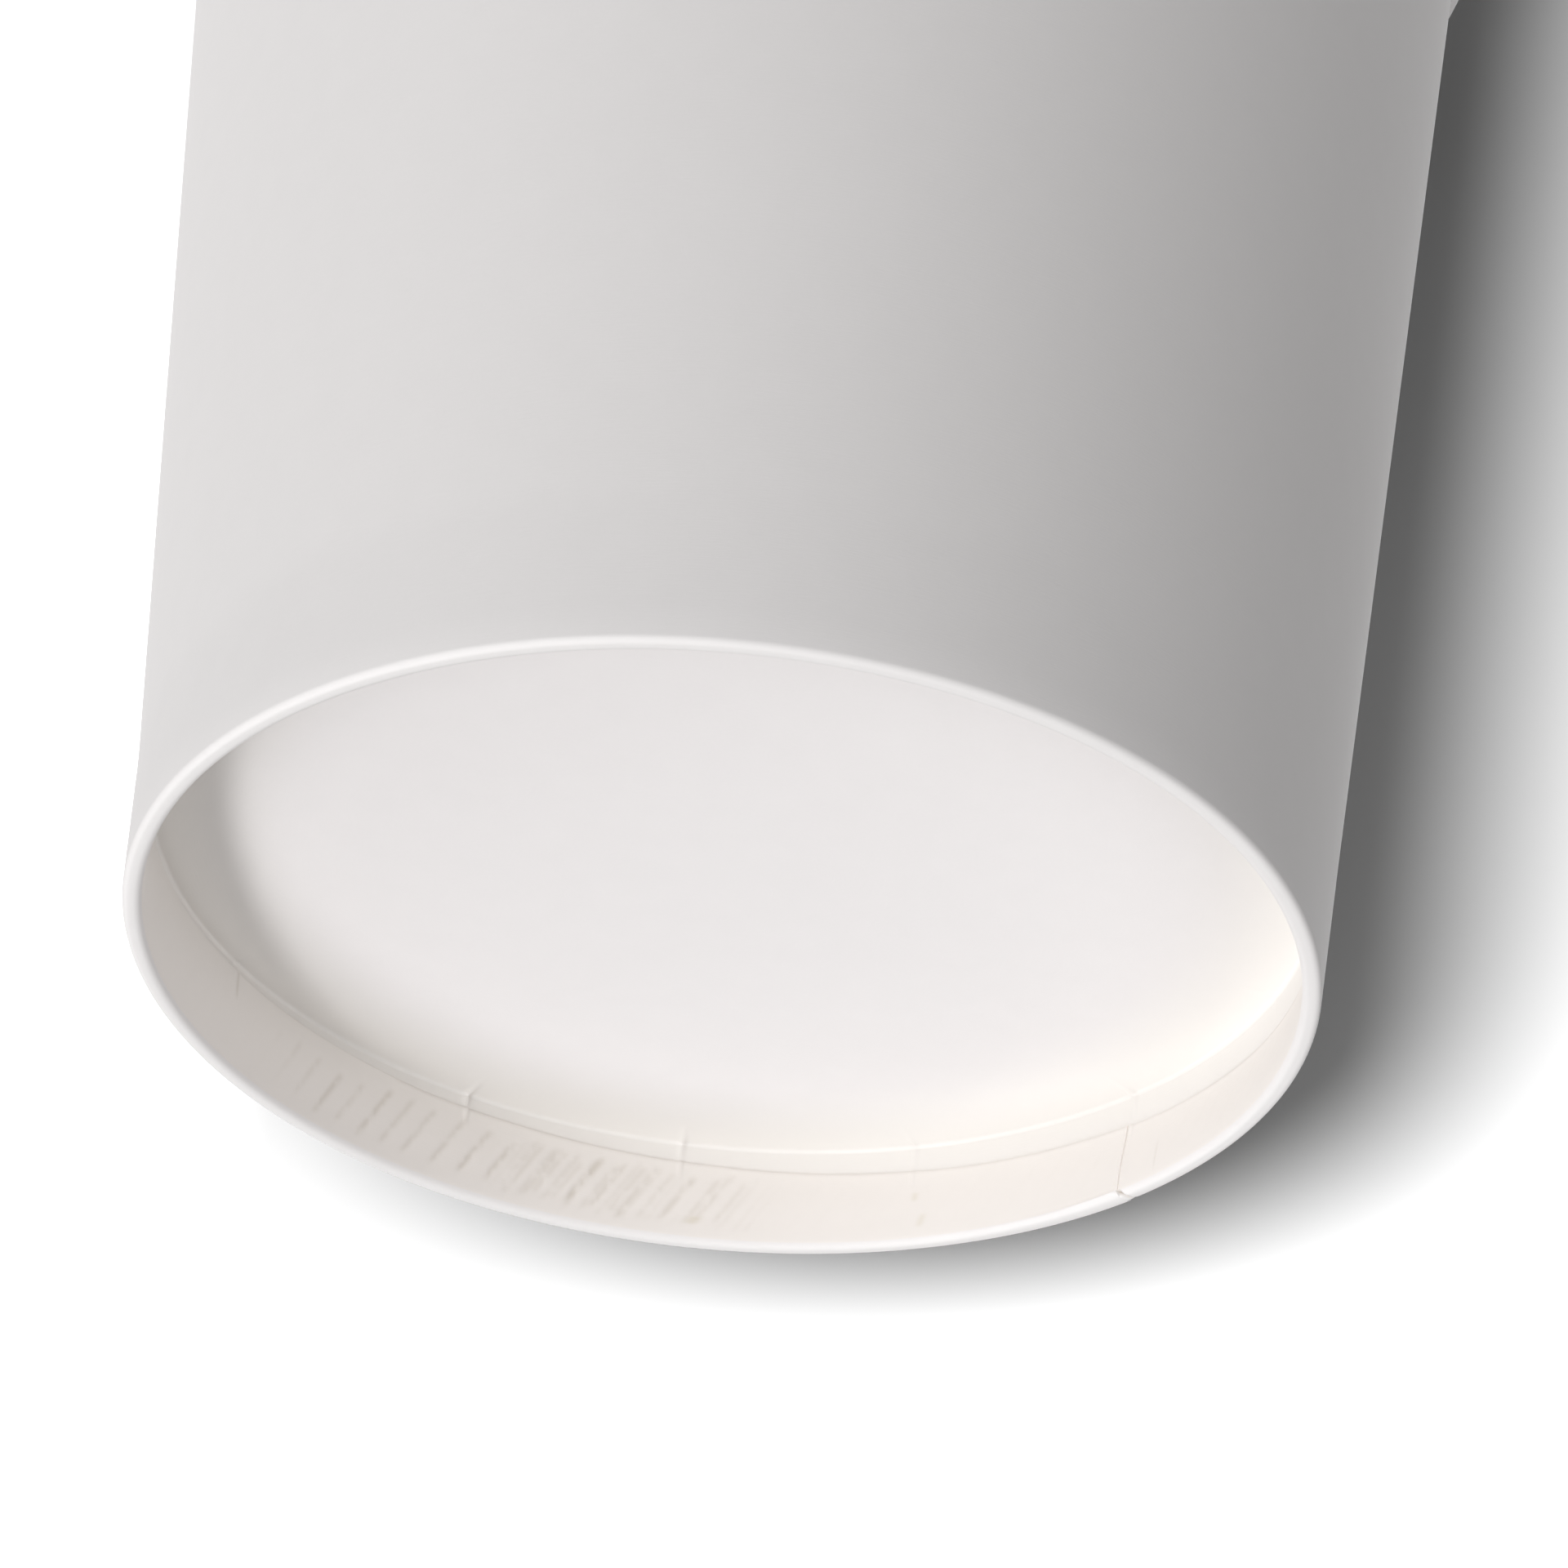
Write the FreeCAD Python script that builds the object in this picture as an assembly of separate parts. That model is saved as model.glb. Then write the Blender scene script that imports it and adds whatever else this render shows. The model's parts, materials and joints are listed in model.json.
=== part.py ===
"""Paper soup cup, about 900 ml: a tapered paperboard wall with a rolled rim and a folded foot,
and a round bottom whose skirt is held in the fold. Millimetres, +Z up, foot on z = 0.
"""
import FreeCAD
import Part

import math
import os

# Outer sizes
height = 123.0              # foot to the top of the rolled rim
foot_diameter = 90.0        # over the fold that the cup stands on
rim_diameter = 121.8        # over the rolled rim

# Board
wall_board = 0.48
bottom_board = 0.45
seal_gap = 0.02             # between boards that are sealed to each other

# Foot
foot_flat = 0.35            # width of the ring that the cup stands on, between the fold's corners
foot_band = 11.0            # the pressed band of wall round the foot
foot_flare = 0.27           # how far the band's lower edge stands out of the wall's cone
hem_height = 7.65           # from the foot to the hem's cut edge, on average
hem_skew = 1.35             # the cut edge runs this much higher on one side and lower on the other
hem_high_side = 165.0       # azimuth of the hem's highest place, degrees

# Bottom
bend_radius = 0.9           # of the bend into the skirt, on the side of the recess
skirt_showing = 0.1         # plain skirt between the hem's highest place and the bend
skirt_lift = 0.2            # from the fold's corners up to the skirt's cut edge

# Rim
rim_roll = 3.2              # across the rolled rim
roll_gap = 0.06             # between the turns of the roll
roll_tuck = 35.0            # how far the cut edge is tucked in past one full turn, degrees

# Side seam, where the outer flap lies over the inner one
seam_azimuth = 40.0         # the outer flap's edge, degrees
seam_lap = 9.0              # the flaps' overlap at the foot
seam_step = 0.22            # what is left of a flap's thickness once it is pressed
seam_run_out = 25.0         # a flap sinks back to the round wall over this angle, degrees

# A bend is drawn as chords that turn by no more than this, degrees
chord_turn = 48.0
# Faces nearer to each other than this are taken as one when the flaps are fused on
fuse_tolerance = 0.0001

# The skirt and the hem lie this far behind the wall, between mid-thicknesses
skirt_depth = wall_board / 2 + seal_gap + bottom_board / 2
hem_depth = 2 * skirt_depth

# The bottom lies high enough for its bend to clear the hem's highest place
bend_start = hem_height + hem_skew + skirt_showing

# The fold's outer corner, at mid-thickness
corner_radius = (hem_depth - foot_flat) / 2
corner_level = corner_radius + wall_board / 2
corner_centre = FreeCAD.Vector(foot_diameter / 2 - corner_level, 0, corner_level)

# The rolled rim: each half turn is tighter than the last, so that the roll passes inside itself
roll_radii = [(rim_roll - wall_board - turn * (wall_board + roll_gap)) / 2 for turn in range(3)]
roll_centre = FreeCAD.Vector((rim_diameter - rim_roll) / 2, 0, height - rim_roll / 2)

# The taper for which the wall, kinked above its band, touches both the fold's corner and the roll
kink = math.asin(foot_flare / foot_band)
span = roll_centre - corner_centre
stand_off = roll_radii[0] + corner_radius * math.cos(kink) - foot_flare
taper = math.acos(stand_off / span.Length) - math.atan2(span.z, span.x)
foot_lean = taper - kink


def along(lean):
    """The way a board runs that leans from +Z towards +X by this angle."""
    return FreeCAD.Vector(math.sin(lean), 0, math.cos(lean))


def right_of(lean):
    """The way to the right of such a board."""
    return FreeCAD.Vector(math.cos(lean), 0, -math.sin(lean))


def run(start, end, lean):
    """A straight stretch of board: its ends, each with the lean there."""
    return [(start, lean), (end, lean)]


def bend(centre, radius, start_lean, end_lean):
    """A bend to the right round a centre, or to the left if the radius is negative."""
    chords = math.ceil(abs(math.degrees(end_lean - start_lean)) / chord_turn)
    leans = [start_lean + (end_lean - start_lean) * step / chords for step in range(chords + 1)]
    return [(centre - right_of(lean) * radius, lean) for lean in leans]


def board_section(stretches, left, right):
    """The closed section of a board between two offsets to the right of its mid-thickness."""
    points = stretches[0] + [point for stretch in stretches[1:] for point in stretch[1:]]
    right_side = [point + right_of(lean) * right for point, lean in points]
    left_side = [point + right_of(lean) * left for point, lean in reversed(points)]
    return Part.Face(Part.makePolygon(right_side + left_side + right_side[:1]))


def revolved(section):
    return section.revolve(FreeCAD.Vector(0, 0, 0), FreeCAD.Vector(0, 0, 1), 360)


def at_foot(depth, level):
    """A point of the foot at this depth behind the wall's mid-thickness, and at this level."""
    start = corner_centre + right_of(foot_lean) * (corner_radius - depth)
    return start + along(foot_lean) * ((level - start.z) / math.cos(foot_lean))


def fold_turn_in():
    """The fold's inner corner, from the hem to the flat that the cup stands on."""
    centre = at_foot(hem_depth - corner_radius, corner_level)
    return bend(centre, -corner_radius, math.pi + foot_lean, math.pi / 2)


def fold_turn_up():
    """The fold's outer corner, from the flat to the wall."""
    return bend(corner_centre, -corner_radius, math.pi / 2, foot_lean)


def fold_flat():
    return run(fold_turn_in()[-1][0], fold_turn_up()[0][0], math.pi / 2)


def hem_run():
    """The hem, from above its cut edge down to the fold."""
    return run(at_foot(hem_depth, bend_start), fold_turn_in()[0][0], math.pi + foot_lean)


def band_run():
    """The pressed band, up to the kink where the straight wall starts."""
    start = fold_turn_up()[-1][0]
    return [(start, foot_lean), (start + along(foot_lean) * foot_band, taper - kink / 2)]


def wall_run(short_of_roll=0.0):
    """The straight wall, from the kink to the roll."""
    end = roll_centre - right_of(taper) * roll_radii[0] - along(taper) * short_of_roll
    return [band_run()[-1], (end, taper)]


def rim_turn(number, start_turn, end_turn):
    """A stretch of one of the roll's half turns, each of which starts where the last one ends."""
    sideways = right_of(taper) * (roll_radii[0] - roll_radii[1])
    centre = roll_centre + sideways * (number % 2)
    return bend(centre, roll_radii[number], taper + start_turn, taper + end_turn)


def sector(start_azimuth, end_azimuth):
    """All of the cup between two azimuths, with its own height to spare above and below."""
    lowest = FreeCAD.Vector(0, 0, -height)
    upward = FreeCAD.Vector(0, 0, 1)
    wedge = Part.makeCylinder(rim_diameter, 3 * height, lowest, upward, end_azimuth - start_azimuth)
    wedge.rotate(FreeCAD.Vector(0, 0, 0), upward, start_azimuth)
    return wedge


def hem_waste():
    """What is cut off above the hem's edge, which lies a little askew."""
    waste = Part.makeCylinder(foot_diameter, height, FreeCAD.Vector(0, 0, hem_height))
    tilt = math.degrees(math.atan2(hem_skew, foot_diameter / 2))
    waste.rotate(FreeCAD.Vector(0, 0, hem_height), FreeCAD.Vector(0, 1, 0), -tilt)
    waste.rotate(FreeCAD.Vector(0, 0, 0), FreeCAD.Vector(0, 0, 1), hem_high_side)
    return waste


def flap_step(section, edge_azimuth, run_out, outward):
    """The step that a flap's edge leaves in a skin of the board.

    The skin is moved sideways, so that it stands off the round wall by the step at the flap's edge
    and sinks into the wall where the flap has run out, a little before the sector's other side.
    """
    shift = seam_step / math.sin(math.radians(abs(run_out)))
    least_shifted = edge_azimuth + run_out
    sunk_side = least_shifted + run_out / 5
    skin = revolved(section)
    skin.translate(FreeCAD.Vector(shift if outward else -shift, 0, 0))
    skin.rotate(
        FreeCAD.Vector(0, 0, 0), FreeCAD.Vector(0, 0, 1), least_shifted - math.copysign(90, run_out)
    )
    return skin.common(sector(*sorted([edge_azimuth, sunk_side])))


def side_wall():
    """One blank of board: rolled rim, wall, folded foot and hem, sealed along a lapped seam."""
    half = wall_board / 2
    fold = [fold_turn_in(), fold_flat(), fold_turn_up()]
    rim = [
        rim_turn(0, 0, math.pi),
        rim_turn(1, math.pi, 2 * math.pi),
        rim_turn(2, 2 * math.pi, 2 * math.pi + math.radians(roll_tuck)),
    ]
    wall = revolved(board_section(fold + [band_run(), wall_run()] + rim, -half, half))
    hem = revolved(board_section([hem_run()], -half, half)).cut(hem_waste())

    # The outer flap's edge: on the wall outside, and on the hem inside the recess
    below_roll = wall_run(short_of_roll=roll_radii[1] + half)
    outer_skin = board_section([fold_turn_up(), band_run(), below_roll], 0, half)
    hem_skin = board_section([hem_run(), fold_turn_in()], 0, half)
    outer_flap = flap_step(outer_skin, seam_azimuth, seam_run_out, outward=True)
    hem_flap = flap_step(hem_skin, seam_azimuth, seam_run_out, outward=False).cut(hem_waste())

    # The inner flap's edge: inside the cup above the bottom, and over the rolled rim
    inner_azimuth = seam_azimuth + math.degrees(seam_lap / (foot_diameter / 2))
    roll_top = math.pi / 2 - taper
    inner_skin = board_section([wall_run(), rim_turn(0, 0, roll_top)], -half, 0)
    roll_outside = [rim_turn(0, roll_top, math.pi), rim_turn(1, math.pi, 1.5 * math.pi)]
    rim_skin = board_section(roll_outside, -half, 0)
    inner_flap = flap_step(inner_skin, inner_azimuth, -seam_run_out, outward=False)
    rim_flap = flap_step(rim_skin, inner_azimuth, -seam_run_out, outward=True)

    return wall.fuse([hem, outer_flap, hem_flap, inner_flap, rim_flap], fuse_tolerance)


def bottom_disc():
    """The round bottom, with its bend and the skirt that hangs between the wall and the hem."""
    half = bottom_board / 2
    bend_middle = bend_radius + half
    skirt_top = at_foot(skirt_depth, bend_start - bend_middle * math.sin(foot_lean))
    bend_centre = skirt_top - right_of(foot_lean) * bend_middle
    turned_in = bend(bend_centre, -bend_middle, foot_lean, -math.pi / 2)
    edge_of_flat = turned_in[-1][0]
    stretches = [
        run(at_foot(skirt_depth, corner_level + skirt_lift), skirt_top, foot_lean),
        turned_in,
        run(edge_of_flat, FreeCAD.Vector(0, 0, edge_of_flat.z), -math.pi / 2),
    ]
    return revolved(board_section(stretches, -half, half))


os.makedirs("parts", exist_ok=True)
side_wall().exportStep("parts/side_wall.step")
bottom_disc().exportStep("parts/bottom_disc.step")
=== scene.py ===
"""A paper soup cup, dressed around its CAD model: the formed side wall, the pressed-in bottom, and
a plain white studio. Metres, +Z up the cup's axis, with the foot on z = 0.
"""

import json
import math

import bpy
import numpy as np
from mathutils import Matrix, Vector

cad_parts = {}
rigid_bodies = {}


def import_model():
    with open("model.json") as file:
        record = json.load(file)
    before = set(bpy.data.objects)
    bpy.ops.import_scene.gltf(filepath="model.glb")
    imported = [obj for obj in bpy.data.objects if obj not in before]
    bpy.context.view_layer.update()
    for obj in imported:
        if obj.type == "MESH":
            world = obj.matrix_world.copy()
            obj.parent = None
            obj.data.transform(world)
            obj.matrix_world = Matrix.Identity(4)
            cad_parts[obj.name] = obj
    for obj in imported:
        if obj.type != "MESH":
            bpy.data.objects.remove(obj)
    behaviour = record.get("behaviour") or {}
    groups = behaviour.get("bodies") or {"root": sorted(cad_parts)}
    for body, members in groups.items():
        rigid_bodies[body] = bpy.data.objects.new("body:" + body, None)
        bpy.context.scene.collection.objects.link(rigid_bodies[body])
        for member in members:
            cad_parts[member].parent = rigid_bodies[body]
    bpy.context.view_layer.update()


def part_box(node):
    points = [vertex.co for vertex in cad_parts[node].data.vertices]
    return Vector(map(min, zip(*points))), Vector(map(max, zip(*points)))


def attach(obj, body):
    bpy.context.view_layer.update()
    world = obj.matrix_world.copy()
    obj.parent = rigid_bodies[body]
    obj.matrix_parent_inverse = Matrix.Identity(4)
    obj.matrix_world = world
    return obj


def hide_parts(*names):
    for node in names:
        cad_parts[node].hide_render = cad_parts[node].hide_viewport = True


for left_over in list(bpy.data.objects):
    bpy.data.objects.remove(left_over)
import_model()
mm = 0.001


# ==== View ====
# The cup is shown from below and in front, as one sees it lying on a table with its foot
# towards the eye. The camera is a short telephoto, turned a little about its own line of sight.

camera_place = Vector((0.00325, -0.2405, -0.1381))
camera_rise = math.radians(33.14)
camera_roll = math.radians(5.47)

camera_data = bpy.data.cameras.new("camera")
camera_data.lens = 84.4
camera_data.sensor_width = 36.0
camera_data.clip_start = 0.01
camera = bpy.data.objects.new("camera", camera_data)
tilt = Matrix.Rotation(math.pi / 2 + camera_rise, 4, "X")
camera.matrix_world = Matrix.Translation(camera_place) @ tilt @ Matrix.Rotation(camera_roll, 4, "Z")
bpy.context.scene.collection.objects.link(camera)
bpy.context.scene.camera = camera


# ==== Side wall ====
# One fan-shaped blank of white coated board, wound into a cone and sealed along a lapped seam. Its
# top is curled outwards into the rim, and its foot is folded in and up round the bottom's skirt,
# where a turning wheel presses slanted strokes into the hem.

wall_board = 0.48 * mm
seal_gap = 0.02 * mm
bottom_board = 0.45 * mm

cup_low, cup_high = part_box("side_wall")
cup_height = cup_high.z - cup_low.z
rim_radius = min(*cup_high.xy, *-cup_low.xy)
foot_radius = 45.0 * mm
rim_roll = 3.2 * mm
roll_gap = 0.06 * mm
roll_tuck = math.radians(35)

foot_flat = 0.35 * mm
foot_band = 11.0 * mm
foot_flare = 0.27 * mm
foot_shift = 0.2 * mm       # the foot ring lies this far to one side of the rim
hem_height = 7.65 * mm
hem_skew = 1.35 * mm
hem_unevenness = 0.05 * mm
hem_high_side = math.radians(165)

seam_azimuth = math.radians(39.4)
seam_lap = 9.0 * mm / foot_radius
seam_step = 0.22 * mm
seam_run_out = math.radians(25)

skirt_depth = wall_board / 2 + seal_gap + bottom_board / 2
hem_depth = 2 * skirt_depth
corner_radius = (hem_depth - foot_flat) / 2
corner_level = corner_radius + wall_board / 2
corner_centre = np.array([foot_radius - corner_level, corner_level])
roll_radii = [(rim_roll - wall_board - turn * (wall_board + roll_gap)) / 2 for turn in range(3)]
roll_centre = np.array([rim_radius - rim_roll / 2, cup_height - rim_roll / 2])

kink = math.asin(foot_flare / foot_band)
span = roll_centre - corner_centre
stand_off = roll_radii[0] + corner_radius * math.cos(kink) - foot_flare
taper = math.acos(stand_off / np.hypot(*span)) - math.atan2(span[1], span[0])
foot_lean = taper - kink


def along(lean):
    """The way a board runs, in radius and height, that leans outwards by this angle."""
    return np.array([math.sin(lean), math.cos(lean)])


def right_of(lean):
    return np.array([math.cos(lean), -math.sin(lean)])


def run(start, end, lean, steps):
    """A straight stretch of board, as points of its mid-thickness with the lean at each."""
    return [(start + (end - start) * step / steps, lean) for step in range(steps + 1)]


def bend(centre, radius, start_lean, end_lean, steps):
    """A bend to the right round a centre, or to the left if the radius is negative."""
    leans = [start_lean + (end_lean - start_lean) * step / steps for step in range(steps + 1)]
    return [(centre - right_of(lean) * radius, lean) for lean in leans]


def at_foot(depth, level):
    """A point of the foot at this depth behind the wall's mid-thickness, and at this level."""
    start = corner_centre + right_of(foot_lean) * (corner_radius - depth)
    return start + along(foot_lean) * (level - start[1]) / math.cos(foot_lean)


def columns_round(evenly, close_places, close_offsets):
    """Azimuths once round the cup: evenly spaced, and closer by these offsets at some places."""
    close = np.array([place + offset for place in close_places for offset in close_offsets])
    reach = max(close_offsets)
    even = np.linspace(0, math.tau, evenly, endpoint=False)
    apart = [np.abs((even - place + math.pi) % math.tau - math.pi) for place in close_places]
    kept = even[np.min(apart, axis=0) > reach + 0.3 * math.tau / evenly]
    azimuths = np.sort(np.concatenate([kept, close % math.tau]))
    return np.append(azimuths, azimuths[0] + math.tau)


def finer(azimuths, parts):
    """The same azimuths with each gap between them divided into equal parts."""
    steps = np.arange(len(azimuths) * parts - parts + 1) / parts
    return np.interp(steps, np.arange(len(azimuths)), azimuths)


def fading(distance, reach):
    """1 at no distance and 0 past the reach, smooth between."""
    return (1 + np.cos(np.pi * np.clip(distance / reach, 0, 1))) / 2


def foot_set(azimuth, level):
    """How far the foot stands out at this azimuth, as it lies slightly off the rim's centre."""
    return -foot_shift * np.cos(azimuth) * np.clip(1 - level / foot_band, 0, 1)


class BoardMesh:
    """A closed shell of board, made of rows of vertices that each go once round the cup."""

    def __init__(self):
        self.places, self.uvs, self.faces, self.face_uvs = [], [], [], []
        self.masks = {}

    def row(self, azimuths, radii, levels, run_length, **masks):
        """Adds a row. Its last azimuth closes the ring, so it gets no vertex of its own."""
        first = len(self.places)
        around = azimuths[:-1]
        radii, levels = (np.broadcast_to(values, azimuths.shape)[:-1] for values in (radii, levels))
        places = np.stack([radii * np.cos(around), radii * np.sin(around), levels], axis=1)
        self.places.extend(places.tolist())
        for name in ("cut_edge", "hem_face", "below_edge", "crease"):
            values = np.broadcast_to(masks.get(name, 0.0), azimuths.shape)[:-1]
            self.masks.setdefault(name, []).extend(values.tolist())
        numbers = list(range(first, first + len(around))) + [first]
        lengths = np.broadcast_to(run_length, azimuths.shape)
        uvs = np.stack([azimuths * foot_radius, lengths], axis=1)
        return numbers, uvs.tolist()

    def face(self, corners):
        self.faces.append([number for number, uv in corners])
        self.face_uvs.extend(uv for number, uv in corners)

    def join(self, row, next_row):
        """Faces between two rows. The finer of them may have several columns to the other's one."""
        (coarse, coarse_uv), (fine, fine_uv) = sorted([row, next_row], key=lambda r: len(r[0]))
        parts = (len(fine) - 1) // (len(coarse) - 1)
        turned = coarse is not row[0]
        for column in range(len(coarse) - 1):
            base = [(coarse[column + side], coarse_uv[column + side]) for side in (0, 1)]
            first, last = column * parts, (column + 1) * parts
            top = list(zip(fine[first:last + 1], fine_uv[first:last + 1]))
            if parts == 1:
                patches = [[base[0], base[1], top[1], top[0]]]
            else:
                middle = parts // 2
                patches = [[base[0], base[1], top[middle]]]
                patches += [[base[0], top[part + 1], top[part]] for part in range(middle)]
                patches += [[base[1], top[part + 1], top[part]] for part in range(middle, parts)]
            for patch in patches:
                self.face(patch[::-1] if turned else patch)

    def pole(self, row, level):
        """Closes a row with one vertex on the cup's axis."""
        numbers, uvs = row
        tip = len(self.places)
        self.places.append([0.0, 0.0, level])
        for values in self.masks.values():
            values.append(0.0)
        for column in range(len(numbers) - 1):
            middle_uv = [(uvs[column][0] + uvs[column + 1][0]) / 2, uvs[column][1]]
            ends = [(numbers[column], uvs[column]), (numbers[column + 1], uvs[column + 1])]
            self.face(ends + [(tip, middle_uv)])

    def object(self, name, inside_out=False):
        mesh = bpy.data.meshes.new(name)
        mesh.from_pydata(self.places, [], self.faces)
        layer = mesh.uv_layers.new(name="board")
        layer.data.foreach_set("uv", np.array(self.face_uvs, np.float32).ravel())
        for mask, values in self.masks.items():
            attribute = mesh.attributes.new(mask, "FLOAT", "POINT")
            attribute.data.foreach_set("value", np.array(values, np.float32))
        if inside_out:
            mesh.flip_normals()
        mesh.shade_smooth()
        mesh.set_sharp_from_angle(angle=math.radians(42))
        piece = bpy.data.objects.new(name, mesh)
        bpy.context.scene.collection.objects.link(piece)
        return piece


# The blank's path, from the fold's inner corner to the edge tucked into the roll
fold = bend(at_foot(hem_depth - corner_radius, corner_level), -corner_radius,
            math.pi + foot_lean, math.pi / 2, 7)
fold_up = bend(corner_centre, -corner_radius, math.pi / 2, foot_lean, 7)
band_top = fold_up[-1][0] + along(foot_lean) * foot_band
wall_top = roll_centre - right_of(taper) * roll_radii[0]
kink_reach = 1.2 * mm
band = run(fold_up[-1][0], band_top - along(foot_lean) * kink_reach, foot_lean, 4)
wall = run(band_top + along(taper) * kink_reach, wall_top, taper, 8)
sideways = right_of(taper) * (roll_radii[0] - roll_radii[1])
roll = bend(roll_centre, roll_radii[0], taper, taper + math.pi, 16)
roll += bend(roll_centre + sideways, roll_radii[1], taper + math.pi, taper + math.tau, 12)[1:]
roll += bend(roll_centre, roll_radii[2], taper + math.tau, taper + math.tau + roll_tuck, 3)[1:]
kink_middle = [(band_top + right_of(taper) * foot_flare / 30, taper - kink / 2)]
blank = fold + fold_up + band[1:] + kink_middle + wall + roll[1:]
fold_rows = len(fold) + len(fold_up)
roll_start = len(blank) - len(roll)

# Columns are closer where a flap ends: the outer one's edge and the inner one's edge
close_by = np.array([-1.3, -1.15, -1.0, -0.85, -0.7, -0.55, -0.4, -0.22, -0.1, -0.015,
                     0.015, 0.12, 0.3, 0.7, 1.3]) * mm
inner_azimuth = seam_azimuth + seam_lap
wall_columns = columns_round(324, [seam_azimuth, inner_azimuth], close_by / foot_radius)
hem_columns = finer(wall_columns, 6)


def lap(azimuth, edge, way):
    """How proud a flap stands, from 1 at its cut edge to 0 where it has run out, one way round."""
    past = (way * (azimuth - edge)) % math.tau
    return np.where(past < seam_run_out, np.sin(seam_run_out - past) / math.sin(seam_run_out), 0)


def outer_lap(azimuth):
    return lap(azimuth, seam_azimuth, 1)


def turn_from(place, azimuth):
    """The angle from a place on the cup to an azimuth, the shorter way round."""
    return (azimuth - place + math.pi) % math.tau - math.pi


def nick(azimuth, place):
    """1 in the middle of a narrow dip at one azimuth."""
    return np.exp(-((turn_from(place, azimuth) * foot_radius / nick_width) ** 2))


def pleats(azimuth, width, aside=0.0):
    """1 along each pleat of the bottom's skirt, or a little to its side: a few are stronger."""
    total = np.zeros_like(azimuth)
    for place, size in zip(pleat_places, pleat_sizes):
        apart = turn_from(place, azimuth) * foot_radius - aside
        total = total + size * np.exp(-((apart / width) ** 2))
    return total


def hem_edge(azimuth):
    """The level of the hem's cut edge, a little askew and not quite even."""
    wander = np.sin(3 * azimuth + 0.6) + 0.6 * np.sin(7 * azimuth + 2.1)
    wander = wander + 0.4 * np.sin(17 * azimuth)
    return hem_height + hem_skew * np.cos(azimuth - hem_high_side) + hem_unevenness * wander


def wall_row(point, lean, side, lap_share, run_length, dip=0.0, dip_turn=0.0, **masks):
    """A row on the face to the right of the path (side 1) or to its left (side -1)."""
    edge, way = (seam_azimuth, 1) if side > 0 else (inner_azimuth, -1)
    radius, level = point + right_of(lean) * side * wall_board / 2
    dips = dip * nick(wall_columns, seam_azimuth + dip_turn)
    proud = seam_step * lap_share * lap(wall_columns, edge, way) - dips
    radii = radius + side * right_of(lean)[0] * proud + foot_set(wall_columns, level)
    levels = level + dips * max(0.0, -side * right_of(lean)[1])
    return shell.row(wall_columns, radii, levels, run_length, **masks)


pleat_places = [math.radians(degrees) for degrees in (
    153.3, 118.3, 93.3, 67.0, 39.0, 13.0, -14.0, -39.5, -66.0, -92.5, -118.0, -145.5, -171.0)]
pleat_sizes = [0.5, 1.2, 1.0, 0.7, 0.9] + [0.4] * (len(pleat_places) - 5)
nick_width = 0.14 * mm
hem_nick = 0.035 * mm
hem_step = 0.12 * mm        # the flap's edge is pressed flatter on the hem
fold_nick = 0.40 * mm
fold_nick_turn = math.radians(-1.6)     # the flap's edge crosses the fold at this slant
wall_nick = 0.06 * mm
pressed_edge = 0.34 * mm    # the hem's cut edge is pressed this much thinner
pressed_reach = 5.0 * mm
less_pressed = 0.75         # where the hem is highest, its edge is pressed this share less
less_reach = math.radians(40)
ridge_height = 0.13 * mm    # a pleat behind the hem lifts it by this at its cut edge
ridge_width = 0.2 * mm
ridge_reach = 2.4 * mm
# Painted shade: the dark side of each pleat's ridge on the hem is painted into the board's colour
ridge_shade = 0.4          # a pleat darkens the hem beside it by this share
hem_swell = 0.035 * mm      # the hem bulges by this just above the fold
swell_level = 1.2 * mm
swell_reach = 1.4 * mm
edge_round = 0.05 * mm
edge_rawness = 0.4          # this share of the raw board shows along the hem's cut edge
rim_lap_rows = 20
hem_foot = fold[0][0]
hem_steps = 24
path_length = hem_height - hem_foot[1]
shell = BoardMesh()
rows = []

# The hem's face, from its cut edge down to the fold, with columns close enough for the strokes
edge_level = hem_edge(hem_columns)
hem_middle = at_foot(hem_depth, 0)[0]
half_across = wall_board / 2 / math.cos(foot_lean)
ridges = pleats(hem_columns, ridge_width)
# where that painted shade lies, just to one side of each pleat's ridge
beside_ridges = pleats(hem_columns, ridge_width * 0.7, aside=-1.4 * ridge_width)
near_high_side = fading(np.abs(turn_from(hem_high_side, hem_columns)), less_reach)
pressed = pressed_edge * (1 - less_pressed * near_high_side)
for step in range(hem_steps + 1):
    level = edge_level - edge_round + (hem_foot[1] - edge_level + edge_round) * step / hem_steps
    below = edge_level - level
    radii = hem_middle + math.tan(foot_lean) * level - half_across + foot_set(hem_columns, level)
    radii += hem_nick * nick(hem_columns, seam_azimuth) - hem_step * outer_lap(hem_columns)
    radii -= hem_swell * fading(np.abs(level - swell_level), swell_reach)
    lifted = fading(below, ridge_reach)
    radii += pressed * fading(below, pressed_reach) - ridge_height * lifted * ridges
    rows.append(shell.row(hem_columns, radii, level, hem_height - level, hem_face=1.0,
                          below_edge=below, crease=ridge_shade * lifted * beside_ridges))

# Down round the fold, up the outside, and round the inside of the roll to the tucked edge
for number, (point, lean) in enumerate(blank[1:], start=1):
    path_length += np.hypot(*(point - blank[number - 1][0]))
    below_roll = number < roll_start - 1
    in_fold = number < fold_rows
    depth = fold_nick if in_fold else wall_nick * below_roll
    turn = fold_nick_turn * number / fold_rows if in_fold else 0.0
    # Painted shade in the nick where the outer flap's edge crosses the fold
    crease = nick(wall_columns, seam_azimuth + turn) * float(in_fold)
    rows.append(wall_row(
        point, lean, 1, float(below_roll), path_length, depth, turn, crease=crease))

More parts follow.
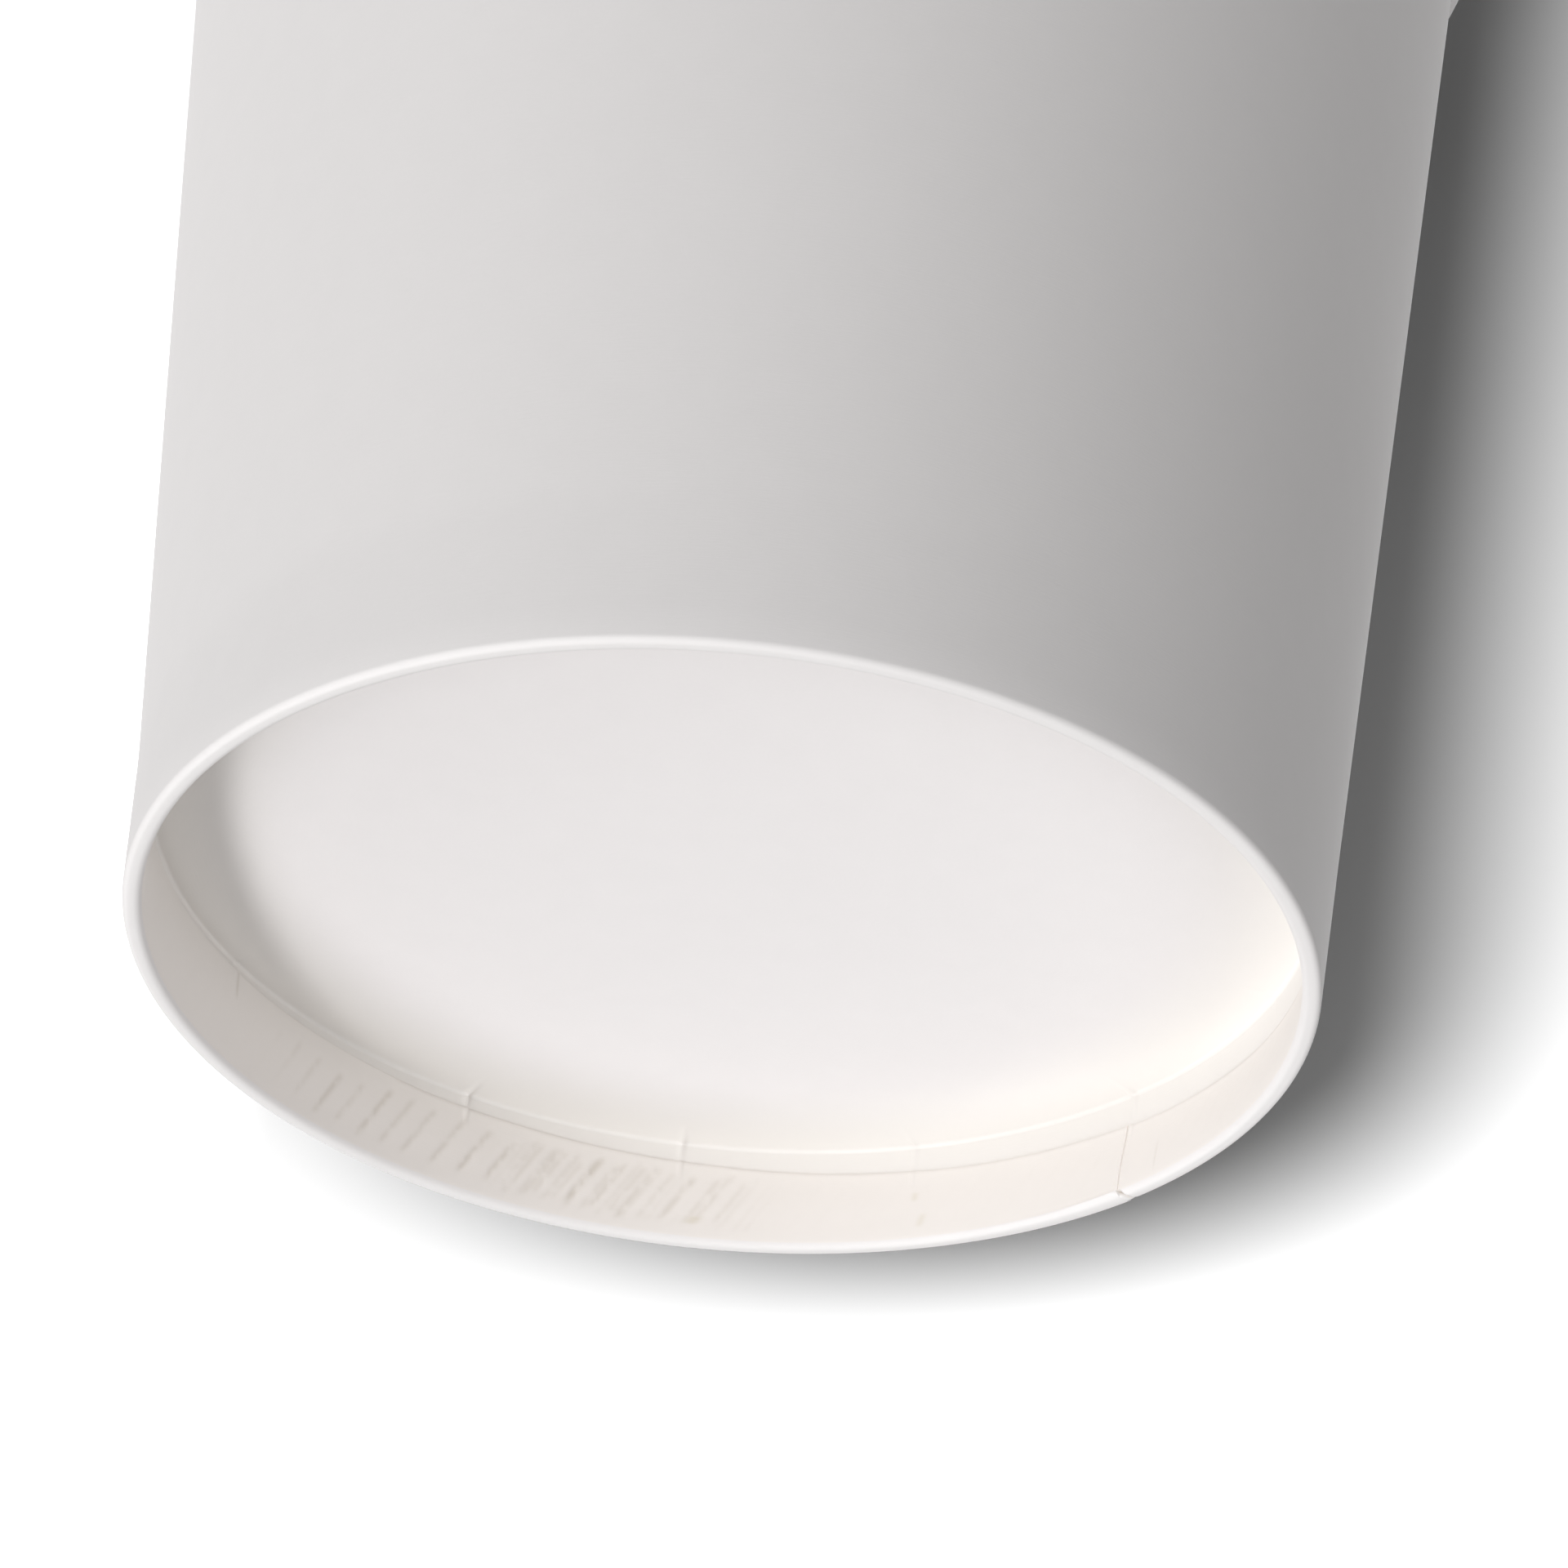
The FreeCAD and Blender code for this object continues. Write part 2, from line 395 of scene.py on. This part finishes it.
# Back along the other face: the outside of the roll, the inside of the cup, and inside the fold
rows.append(wall_row(*blank[-1], -1, 0.0, path_length, cut_edge=1.0))
for number in reversed(range(len(blank) - 1)):
    path_length += np.hypot(*(blank[number][0] - blank[number + 1][0]))
    in_sight = fold_rows <= number < roll_start + rim_lap_rows
    rows.append(wall_row(*blank[number], -1, float(in_sight), path_length))

# The hem's hidden back, and over its cut edge
edge_level_behind = hem_edge(wall_columns)
for share in (0.5, 1.0):
    level = hem_foot[1] + (edge_level_behind - hem_foot[1]) * share
    radii = hem_middle + math.tan(foot_lean) * level + half_across + foot_set(wall_columns, level)
    rows.append(shell.row(wall_columns, radii, level, path_length, cut_edge=share // 1))
radii = hem_middle + math.tan(foot_lean) * edge_level - half_across
radii += foot_set(hem_columns, edge_level)
radii += pressed + edge_round - hem_step * outer_lap(hem_columns) - ridge_height * ridges
rows.append(shell.row(hem_columns, radii, edge_level, path_length, cut_edge=edge_rawness))

for row, next_row in zip(rows, rows[1:] + rows[:1]):
    shell.join(row, next_row)
cup_wall = shell.object("formed_wall")


class Signal:
    """A node's output, with arithmetic that adds Math nodes to its tree."""

    def __init__(self, nodes, socket):
        self.nodes, self.socket = nodes, socket

    def other(self, name):
        return Signal(self.nodes, self.socket.node.outputs[name])

    def maths(self, operation, *values):
        return self.nodes.maths(operation, self, *values)

    def __add__(self, value):
        return self.nodes.maths("ADD", self, value)

    def __sub__(self, value):
        return self.nodes.maths("SUBTRACT", self, value)

    def __rsub__(self, value):
        return self.nodes.maths("SUBTRACT", value, self)

    def __mul__(self, value):
        return self.nodes.maths("MULTIPLY", self, value)

    def __truediv__(self, value):
        return self.nodes.maths("DIVIDE", self, value)

    __radd__ = __add__
    __rmul__ = __mul__


class Nodes:
    """A node tree that is being built."""

    def __init__(self, tree):
        self.tree = tree

    def add(self, kind, settings=(), inputs=(), output=0):
        """Adds a node: its settings come first, then the values or links of its sockets."""
        node = self.tree.nodes.new(kind)
        for name, value in dict(settings).items():
            setattr(node, name, value)
        for name, value in dict(inputs).items():
            if isinstance(value, Signal):
                self.tree.links.new(value.socket, node.inputs[name])
            else:
                node.inputs[name].default_value = value
        return Signal(self, node.outputs[output]) if node.outputs else node

    def attribute(self, name):
        """One of the values that the mesh holds at its points."""
        return self.add("ShaderNodeAttribute", {"attribute_name": name}, output="Fac")

    def join(self, signal, onto, name):
        """Links a signal into a socket of a node that is already there."""
        self.tree.links.new(signal.socket, onto.socket.node.inputs[name])

    def maths(self, operation, *values):
        return self.add("ShaderNodeMath", {"operation": operation}, enumerate(values))

    def ramp(self, value, start, end, low=0.0, high=1.0):
        """Turns smoothly from low to high as the value goes from start to end."""
        ends = {"Value": value, "From Min": start, "From Max": end, "To Min": low, "To Max": high}
        return self.add("ShaderNodeMapRange", {"interpolation_type": "SMOOTHSTEP"}, ends)

    def blend(self, share, colour, other):
        """A colour between two."""
        return self.add("ShaderNodeMix", {"data_type": "RGBA"}, {0: share, 6: colour, 7: other}, 2)


stroke_count = 112
stroke_slant = math.radians(30)
stroke_width = 0.325 * mm
stroke_depth = 0.13 * mm
stroke_lowest = 0.8 * mm
stroke_highest = 8.0 * mm
stroke_shift = 1.0 * mm     # a stroke may end this much short at either end
stroke_fade = 1.1 * mm
stroke_jitter = 0.24        # as a share of the strokes' spacing
stroke_weakest = 0.6
stroke_narrowing = 1.4      # the power that makes their colour narrower than the dents
bare_edge = 0.3 * mm        # the strokes stop this far short of the hem's cut edge
bare_fade = 2.5             # and are full at this many times that
strong_place, strong_reach, strong_full = 119, 28, 15       # in degrees, for near()
strong_elsewhere = 0.1
fine_passes = (0.36, 0.68)  # where the finer strokes lie between the others, as shares
fine_place, fine_reach, fine_full = 99, 19, 8
fine_strength = 0.7
worn_scale = 900.0          # the strokes are worn in patches, down to the least of their strength
worn_from, worn_to, worn_least = 0.34, 0.52, 0.5


def near(nodes, azimuth, place, reach, full, least=0.0):
    """1 within the full angle of a place on the cup, and least past the reach. All in degrees."""
    closeness = (azimuth - math.radians(place)).maths("COSINE")
    ends = (math.cos(math.radians(reach)), math.cos(math.radians(full)))
    return nodes.ramp(closeness, *ends, least, 1.0)


def pressed_strokes(nodes, place, azimuth, level, per_radian, lag, narrow):
    """1 along the middle of each slanted stroke. Two finer passes fill in between in one part.

    A stroke falls back by the lag, an angle for each metre of level, and narrow is its half width
    as a share of the strokes' spacing. Each stroke has its own place, length and strength.
    """
    worn = nodes.add("ShaderNodeTexNoise", inputs={
        "Vector": place, "Scale": worn_scale, "Detail": 1.0})

    def one_pass(offset):
        phase = (azimuth + level * lag) * per_radian + offset
        number = phase.maths("FLOOR").maths("FLOORED_MODULO", float(stroke_count)) + offset

        def own(seed):
            """A value of its own for each stroke."""
            source = number + seed
            return nodes.add("ShaderNodeTexWhiteNoise", {"noise_dimensions": "1D"}, {"W": source})

        off_middle = (phase.maths("FRACT") - 0.5 + (own(0.1) - 0.5) * stroke_jitter) / narrow
        line = (off_middle.maths("POWER", 2.0) * -1.0).maths("EXPONENT")
        lowest = own(0.2) * stroke_shift + stroke_lowest
        highest = own(0.3) * -stroke_shift + stroke_highest
        ends = nodes.ramp(level, lowest, lowest + stroke_fade)
        ends = ends * nodes.ramp(level, highest, highest - stroke_fade)
        return line * ends * (own(0.4) * (1 - stroke_weakest) + stroke_weakest)

    near_strong = near(nodes, azimuth, strong_place, strong_reach, strong_full, strong_elsewhere)
    strong = one_pass(0.0) * near_strong
    first, second = (one_pass(offset) for offset in fine_passes)
    near_fine = near(nodes, azimuth, fine_place, fine_reach, fine_full)
    fine = (first + second) * near_fine * fine_strength
    return (strong + fine) * nodes.ramp(worn, worn_from, worn_to, worn_least, 1.0)


def stroke_tree():
    """Presses the strokes into a hem as shallow dents, and keeps them for the board's colour."""
    tree = bpy.data.node_groups.new("press_strokes", "GeometryNodeTree")
    tree.interface.new_socket("Geometry", in_out="INPUT", socket_type="NodeSocketGeometry")
    for name in ("Strokes", "Slant", "Depth", "Width", "Bare Edge", "Radius"):
        tree.interface.new_socket(name, in_out="INPUT", socket_type="NodeSocketFloat")
    tree.interface.new_socket("Board", in_out="INPUT", socket_type="NodeSocketMaterial")
    tree.interface.new_socket("Geometry", in_out="OUTPUT", socket_type="NodeSocketGeometry")

    nodes = Nodes(tree)
    given = nodes.add("NodeGroupInput")
    slant, radius = given.other("Slant"), given.other("Radius")
    per_radian = given.other("Strokes") / math.tau
    narrow = given.other("Width") * per_radian / radius / slant.maths("COSINE")
    position = nodes.add("GeometryNodeInputPosition")
    x = nodes.add("ShaderNodeSeparateXYZ", inputs={0: position})
    y, z = x.other("Y"), x.other("Z")
    azimuth = y.maths("ARCTAN2", x)
    lag = slant.maths("TANGENT") / radius
    pressed = pressed_strokes(nodes, position, azimuth, z, per_radian, lag, narrow)

    def mask(name):
        return nodes.add("GeometryNodeInputNamedAttribute", {"data_type": "FLOAT"}, {"Name": name})

    bare = given.other("Bare Edge")
    pressed = pressed * mask("hem_face") * nodes.ramp(mask("below_edge"), bare, bare * bare_fade)
    flat = nodes.add("ShaderNodeVectorMath", {"operation": "MULTIPLY"}, {0: position, 1: (1, 1, 0)})
    outwards = nodes.add("ShaderNodeVectorMath", {"operation": "NORMALIZE"}, {0: flat})
    push = {0: outwards, "Scale": pressed * given.other("Depth")}
    offset = nodes.add("ShaderNodeVectorMath", {"operation": "SCALE"}, push)
    kept = nodes.add("GeometryNodeStoreNamedAttribute", {"data_type": "FLOAT", "domain": "POINT"}, {
        "Geometry": given.other("Geometry"), "Name": "stroke", "Value": pressed})
    moved = nodes.add("GeometryNodeSetPosition", inputs={"Geometry": kept, "Offset": offset})
    real = nodes.add("GeometryNodeRealizeInstances", inputs={0: moved})
    finished = nodes.add("GeometryNodeSetMaterial", inputs={
        "Geometry": real, "Material": given.other("Board")})
    nodes.add("NodeGroupOutput", inputs={0: finished})
    return tree


def pass_through(piece, tree, **inputs):
    """Replaces a piece's mesh by what a Geometry Nodes tree makes of it."""
    modifier = piece.modifiers.new(tree.name, "NODES")
    modifier.node_group = tree
    for item in tree.interface.items_tree:
        if item.in_out == "INPUT" and item.name.replace(" ", "_").lower() in inputs:
            modifier[item.identifier] = inputs[item.name.replace(" ", "_").lower()]
    depsgraph = bpy.context.evaluated_depsgraph_get()
    made = piece.evaluated_get(depsgraph)
    mesh = bpy.data.meshes.new_from_object(made, preserve_all_data_layers=True, depsgraph=depsgraph)
    piece.modifiers.clear()
    piece.data = mesh


# The pressed board's own grey-brown, also used as painted shade in the stroke dents, beside the
# pleats and in the seam's nick
pressed_and_shade_tone = (0.64, 0.59, 0.53)
raw_tone = (0.66, 0.55, 0.42)
cloud_scale = 320.0         # texture scales are per metre
drift_scale = 45.0
grain_scale = 3800.0
fibre_scales = (700, 6500, 1)
fibre_turns = (0.4, 1.9)


def coated_board(name, tone, roughness):
    """White coated paperboard: faint clouds and fibres under the coating, and raw grey-brown edges.

    Where the board's attributes say so, it shows painted shade beside pleats and nicks, or the raw
    board. The surface, its colour and its bump are returned as well, for what marks this board
    alone.
    """
    material = bpy.data.materials.new(name)
    material.use_nodes = True
    material.node_tree.nodes.clear()
    nodes = Nodes(material.node_tree)
    on_board = nodes.add("ShaderNodeUVMap", {"uv_map": "board"})
    place = nodes.add("ShaderNodeTexCoord", output="Object")

    def noise(source, scale, detail):
        return nodes.add("ShaderNodeTexNoise", inputs={
            "Vector": source, "Scale": scale, "Detail": detail})

    def fibres(turn):
        """Long thin streaks that run one way across the board."""
        lie = {0: on_board, "Rotation": (0, 0, turn), "Scale": fibre_scales}
        return noise(nodes.add("ShaderNodeMapping", inputs=lie), 1.0, 1.0)

    clouds = noise(place, cloud_scale, 1.0)
    drift = noise(place, drift_scale, 0.0)
    grain = noise(place, grain_scale, 0.0)
    first, second = (fibres(turn) for turn in fibre_turns)
    streaks = (first + second) / 2.0
    raw = nodes.attribute("cut_edge")
    crease = nodes.attribute("crease")

    shade = (clouds - 0.5) * 0.041 + (drift - 0.5) * 0.033
    shade = shade + (streaks - 0.5) * 0.036 + (grain - 0.5) * 0.02
    deeper = tuple(channel * 0.9 for channel in tone)
    colour = nodes.blend((shade * -5.0 + 0.15).maths("MAXIMUM", 0.0), (*tone, 1), (*deeper, 1))
    # Painted shade beside the pleats and in the seam's nick at the fold
    colour = nodes.blend(crease.maths("MINIMUM", 1.0), colour, (*pressed_and_shade_tone, 1))
    colour = nodes.blend((raw * 0.9).maths("MINIMUM", 1.0), colour, (*raw_tone, 1))
    relief = clouds * 0.55 + streaks * 0.72
    bump = nodes.add("ShaderNodeBump", inputs={
        "Strength": 0.35, "Distance": 0.03 * mm, "Height": relief})
    sheen = roughness + (streaks - 0.5) * 0.2 + (drift - 0.5) * 0.07 + raw * 0.3
    surface = nodes.add("ShaderNodeBsdfPrincipled", inputs={
        "Base Color": colour, "Roughness": sheen, "Normal": bump, "IOR": 1.45})
    nodes.add("ShaderNodeOutputMaterial", inputs={"Surface": surface})
    return material, surface, colour, bump


def mark(azimuth, level, place, middle, half_length, half_width, lean=0.0):
    """1 in the middle of a short line on the hem's face. Place and lean are in degrees."""
    across = (azimuth - math.radians(place)) * foot_radius
    across = across + (level - middle) * math.tan(math.radians(lean))
    off_side = (across / half_width).maths("POWER", 2.0)
    off_end = ((level - middle) / half_length).maths("POWER", 4.0)
    return ((off_side + off_end) * -1.0).maths("EXPONENT")


rubbed_tone = (0.66, 0.60, 0.46)
hem_tone = (0.868, 0.827, 0.786)


def wall_finish():
    """The wall's board, whose hem is warmer in tone and carries the strokes and a few marks."""
    material, surface, colour, bump = coated_board(
        "white_wall_board", tone=(0.868, 0.846, 0.840), roughness=0.55)
    nodes = surface.nodes
    round_cup = nodes.add("ShaderNodeSeparateXYZ", inputs={
        0: nodes.add("ShaderNodeUVMap", {"uv_map": "board"})})
    azimuth = round_cup / foot_radius
    level = hem_height - round_cup.other("Y")
    hem_face = nodes.attribute("hem_face")
    outside_crease_shade = 1 - nodes.attribute("crease")
    strokes = nodes.attribute("stroke").maths("POWER", stroke_narrowing)

    # Thin darker lines dented into the hem, and a few darker rubbed spots
    thin_marks = mark(azimuth, level, 34.0, 2.5 * mm, 1.3 * mm, 0.14 * mm) * 0.5
    thin_marks = thin_marks + mark(azimuth, level, 152.5, 8.0 * mm, 1.3 * mm, 0.2 * mm)
    rubs = mark(azimuth, level, 66.3, 4.7 * mm, 0.45 * mm, 0.3 * mm) * 0.7
    rubs = rubs + mark(azimuth, level, 65.2, 2.2 * mm, 0.6 * mm, 0.35 * mm, lean=12) * 0.7
    rubs = rubs + mark(azimuth, level, 91.3, 2.2 * mm, 0.4 * mm, 0.6 * mm, lean=29)

    colour = nodes.blend(hem_face * outside_crease_shade * 0.8, colour, (*hem_tone, 1))
    # The strokes' darker colour is partly the pressed board's own tone and partly painted shade in
    # their dents
    darkened = (strokes * 0.58 + thin_marks * hem_face * 0.45).maths("MINIMUM", 1.0)
    colour = nodes.blend(darkened, colour, (*pressed_and_shade_tone, 1))
    colour = nodes.blend((rubs * hem_face * 0.4).maths("MINIMUM", 1.0), colour, (*rubbed_tone, 1))
    nodes.join(colour, surface, "Base Color")
    marked = nodes.add("ShaderNodeBump", inputs={
        "Strength": 0.7, "Distance": 0.04 * mm, "Height": thin_marks * hem_face * -1.0,
        "Normal": bump})
    nodes.join(marked, surface, "Normal")
    return material


pass_through(
    cup_wall, stroke_tree(), strokes=float(stroke_count), slant=stroke_slant, depth=stroke_depth,
    width=stroke_width, bare_edge=bare_edge, radius=foot_radius, board=wall_finish(),
)
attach(cup_wall, "root")
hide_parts("side_wall")


# ==== Bottom ====
# One disc of satin coated board, with its rim drawn down into a short skirt that is sealed between
# the wall and the hem. Drawing it down leaves small pleats where the flat turns into the skirt.

bend_radius = 0.35 * mm
skirt_lift = 0.2 * mm
bottom_rise = 0.3 * mm      # the middle of the flat lies this much higher than its rim
pleat_height = 0.2 * mm
pleat_width = 0.28 * mm
# Painted shade: the dark side of each pleat on the bottom is painted into its colour
pleat_shade = 0.55         # a pleat darkens the board beside it by this share
pleat_lift = 0.2 * mm       # the pleats start this far above the hem
pleat_reach = 1.0 * mm      # and grow over this height
pleats_from = 0.93          # on the flat they start at this share of its radius
pleat_share = 0.07          # and are full this much further out
dome_power = 7              # the higher, the flatter the middle
flat_shares = [0.994, 0.985, 0.96, 0.93, 0.88, 0.8, 0.7, 0.58, 0.45, 0.3, 0.15, 0.05]

half = bottom_board / 2
flat_level = 10.225 * mm    # at mid-thickness, over the bend
pleat_offsets = np.linspace(-1.2, 1.2, 13) * mm / foot_radius
bottom_columns = columns_round(300, pleat_places, list(pleat_offsets))

bend_middle = bend_radius + half
skirt_foot = at_foot(skirt_depth, corner_level + skirt_lift)
skirt_top = at_foot(skirt_depth, flat_level - bend_middle * (1 + math.sin(foot_lean)))
bend_centre = skirt_top - right_of(foot_lean) * bend_middle
turned_in = bend(bend_centre, -bend_middle, foot_lean, -math.pi / 2, 10)
flat_edge = turned_in[-1][0]
flat = [(flat_edge * np.array([share, 1.0]), -math.pi / 2) for share in flat_shares]
bottom_path = run(skirt_foot, skirt_top, foot_lean, 6) + turned_in[1:] + flat


def bottom_row(point, lean, side):
    """A row of the bottom, on its upper and outer face (side 1) or the recess's (side -1)."""
    radius, level = point + right_of(lean) * side * half
    above_hem = np.clip((level - hem_height - pleat_lift) / pleat_reach, 0, 1)
    near_rim = np.clip((radius / flat_edge[0] - pleats_from) / pleat_share, 0, 1)
    reach = above_hem * near_rim ** 2 * float(side < 0)
    stands = pleat_height * reach * pleats(bottom_columns, pleat_width)
    on_flat = lean < -1.5
    dome = bottom_rise * (1 - (radius / flat_edge[0]) ** dome_power) if on_flat else 0.0
    radii = radius + foot_set(bottom_columns, level) - stands * max(0.0, right_of(lean)[0])
    levels = level + dome - stands * right_of(lean)[1]
    # painted shade just to one side of each pleat
    crease = pleat_shade * reach * pleats(bottom_columns, pleat_width * 0.6, aside=-pleat_width)
    return bottom_shell.row(bottom_columns, radii, levels, radius + level, crease=crease)


bottom_shell = BoardMesh()
bottom_rows = [bottom_row(point, lean, -1) for point, lean in reversed(bottom_path)]
bottom_rows += [bottom_row(point, lean, 1) for point, lean in bottom_path]
for row, next_row in zip(bottom_rows, bottom_rows[1:]):
    bottom_shell.join(row, next_row)
bottom_shell.pole(bottom_rows[-1], flat_edge[1] + half + bottom_rise)
numbers, uvs = bottom_rows[0]
bottom_shell.pole((numbers[::-1], uvs[::-1]), flat_edge[1] - half + bottom_rise)
cup_bottom = bottom_shell.object("pressed_bottom")

rim_bounce_tone = (0.868, 0.843, 0.812)    # painted warmth of light bounced about the recess's corner
rim_bounce_from, rim_bounce_to = 43 * mm, 54 * mm


def bottom_finish():
    """The bottom's board, painted warmer towards its rim as light bounced about the recess's
    corner.
    """
    material, surface, colour, _ = coated_board(
        "white_bottom_board", tone=(0.876, 0.847, 0.845), roughness=0.42)
    nodes = surface.nodes
    from_middle = nodes.add("ShaderNodeSeparateXYZ", inputs={
        0: nodes.add("ShaderNodeUVMap", {"uv_map": "board"})}).other("Y")
    outside_crease_shade = 1 - nodes.attribute("crease")
    rim_bounce_share = nodes.ramp(from_middle, rim_bounce_from, rim_bounce_to, 0.0, 0.9) * outside_crease_shade
    nodes.join(nodes.blend(rim_bounce_share, colour, (*rim_bounce_tone, 1)), surface, "Base Color")
    return material


cup_bottom.data.materials.append(bottom_finish())
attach(cup_bottom, "root")
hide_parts("bottom_disc")


# ==== Studio ====
# A white card behind the cup and a white floor under it. Each is seen from its own front only,
# takes the cup's soft shadow from lamps of its own, and throws no light back.

card_place = Vector((0.0, 93.0, 120.7)) * mm
card_normal = Vector((-0.337, -0.938, -0.080)).normalized()
paper_tone = 0.25           # the lamps make up for this grey, which leaves the shadows deep
side_from, side_to = -48 * mm, -70 * mm     # a sheet turns into its side tone between these
half_sheet = 1.5


def backdrop(name, place, normal, side_tone):
    """A large one-sided sheet of paper that only the camera sees, in a collection of its own.

    Its tone turns into another one at the left, where its lamps leave it darker.
    """
    side = normal.orthogonal().normalized()
    across = normal.cross(side)
    signs = ((-1, -1), (1, -1), (1, 1), (-1, 1))
    corners = [place + (side * a + across * b) * half_sheet for a, b in signs]
    mesh = bpy.data.meshes.new(name)
    mesh.from_pydata(corners, [], [(0, 1, 2, 3)])
    if mesh.polygons[0].normal.dot(normal) < 0:
        mesh.flip_normals()
    material = bpy.data.materials.new(name)
    material.use_nodes = True
    material.node_tree.nodes.clear()
    nodes = Nodes(material.node_tree)
    behind = nodes.add("ShaderNodeNewGeometry", output="Backfacing")
    place_on_sheet = nodes.add("ShaderNodeTexCoord", output="Object")
    x = nodes.add("ShaderNodeSeparateXYZ", inputs={0: place_on_sheet})
    paper = nodes.ramp(x, side_from, side_to, paper_tone, side_tone)
    front = nodes.add("ShaderNodeBsdfDiffuse", inputs={"Color": paper})
    clear = nodes.add("ShaderNodeBsdfTransparent")
    seen = nodes.add("ShaderNodeMixShader", inputs={0: behind, 1: front, 2: clear})
    nodes.add("ShaderNodeOutputMaterial", inputs={"Surface": seen})
    mesh.materials.append(material)
    sheet = bpy.data.objects.new(name, mesh)
    for ray in ("diffuse", "glossy", "transmission", "shadow", "volume_scatter"):
        setattr(sheet, "visible_" + ray, False)
    return lit_group(name, [sheet])


def lit_group(name, pieces):
    """A collection of what some lamps light, and no others."""
    group = bpy.data.collections.new(name)
    bpy.context.scene.collection.children.link(group)
    for piece in pieces:
        group.objects.link(piece)
    return group


def lamp(name, kind, energy, receivers):
    data = bpy.data.lights.new(name, kind)
    data.energy = energy
    light = bpy.data.objects.new(name, data)
    light.light_linking.receiver_collection = receivers
    bpy.context.scene.collection.objects.link(light)
    return light


def sun(name, towards, spread, strength, receivers):
    """A soft sun, in whose full light a white surface facing it is as bright as its strength."""
    light = lamp(name, "SUN", strength * math.pi, receivers)
    light.data.angle = math.radians(spread)
    light.rotation_euler = Vector(towards).to_track_quat("Z", "Y").to_euler()


def round_lamp(name, place, radius, strength, receivers):
    """A round soft box that faces the card, with the same measure of strength at the card."""
    away = place - card_place
    light = lamp(name, "AREA", strength * math.pi ** 2 * away.length_squared, receivers)
    light.data.shape = "DISK"
    light.data.size = 2 * radius
    light.location = place
    light.rotation_euler = away.to_track_quat("Z", "Y").to_euler()


card = backdrop("card", card_place, card_normal, side_tone=2 * paper_tone)
floor = backdrop("floor", Vector((0, 0, 0)), Vector((0, 0, 1)), side_tone=paper_tone)
cup = lit_group("cup", [cup_wall, cup_bottom])
round_lamp("card_key", Vector((-41.7, -211.2, -106.9)) * mm, 44 * mm, 1.03 / paper_tone, card)
round_lamp("card_fill", Vector((-34.4, -221.8, -90.7)) * mm, 136 * mm, 0.24 / paper_tone, card)
sun("floor_sun", (-0.3, -0.2, 0.9), 35, 0.75 / paper_tone, floor)
sun("floor_sky", (0, 0, 1), 140, 0.45 / paper_tone, floor)

# The cup's own light: a tall narrow strip at the left, brighter at both ends, and soft fills
strip_x = -0.45
for number, strip_y in enumerate(np.linspace(0.55, -0.65, 9)):
    strip_z = -math.sqrt(1 - strip_x ** 2 - strip_y ** 2)
    share = np.interp(strip_y, (-0.65, -0.05, 0.55), (0.105, 0.046, 0.096))
    sun("strip_" + str(number), (strip_x, strip_y, strip_z), 13, share, cup)
sun("high_left", (-0.51, -0.81, -0.30), 30, 0.160, cup)
sun("wide_left", (-0.75, -0.60, -0.25), 30, 0.112, cup)
sun("side_left", (-0.93, -0.35, 0.05), 30, 0.098, cup)
sun("front", (0.0, -0.70, -0.70), 30, 0.063, cup)
sun("front_right", (0.50, -0.58, -0.64), 30, 0.172, cup)
sun("low_right", (0.67, 0.47, -0.58), 30, 0.085, cup)
sun("back_top", (0.0, 0.55, 0.83), 30, 0.50, cup)

world_light = 0.109         # for all rays but the camera's and the mirrored ones, which see white


def white_world():
    world = bpy.data.worlds.new("studio")
    world.use_nodes = True
    world.node_tree.nodes.clear()
    nodes = Nodes(world.node_tree)
    rays = nodes.add("ShaderNodeLightPath")
    seen = rays.maths("MAXIMUM", rays.other("Is Glossy Ray"))
    seen = seen.maths("MAXIMUM", rays.other("Is Transmission Ray"))
    around = nodes.add("ShaderNodeBackground", inputs={
        "Color": (1, 1, 1, 1), "Strength": seen * (1 - world_light) + world_light})
    nodes.add("ShaderNodeOutputWorld", inputs={"Surface": around})
    return world


bpy.context.scene.world = white_world()
bpy.context.scene.view_settings.view_transform = "Standard"
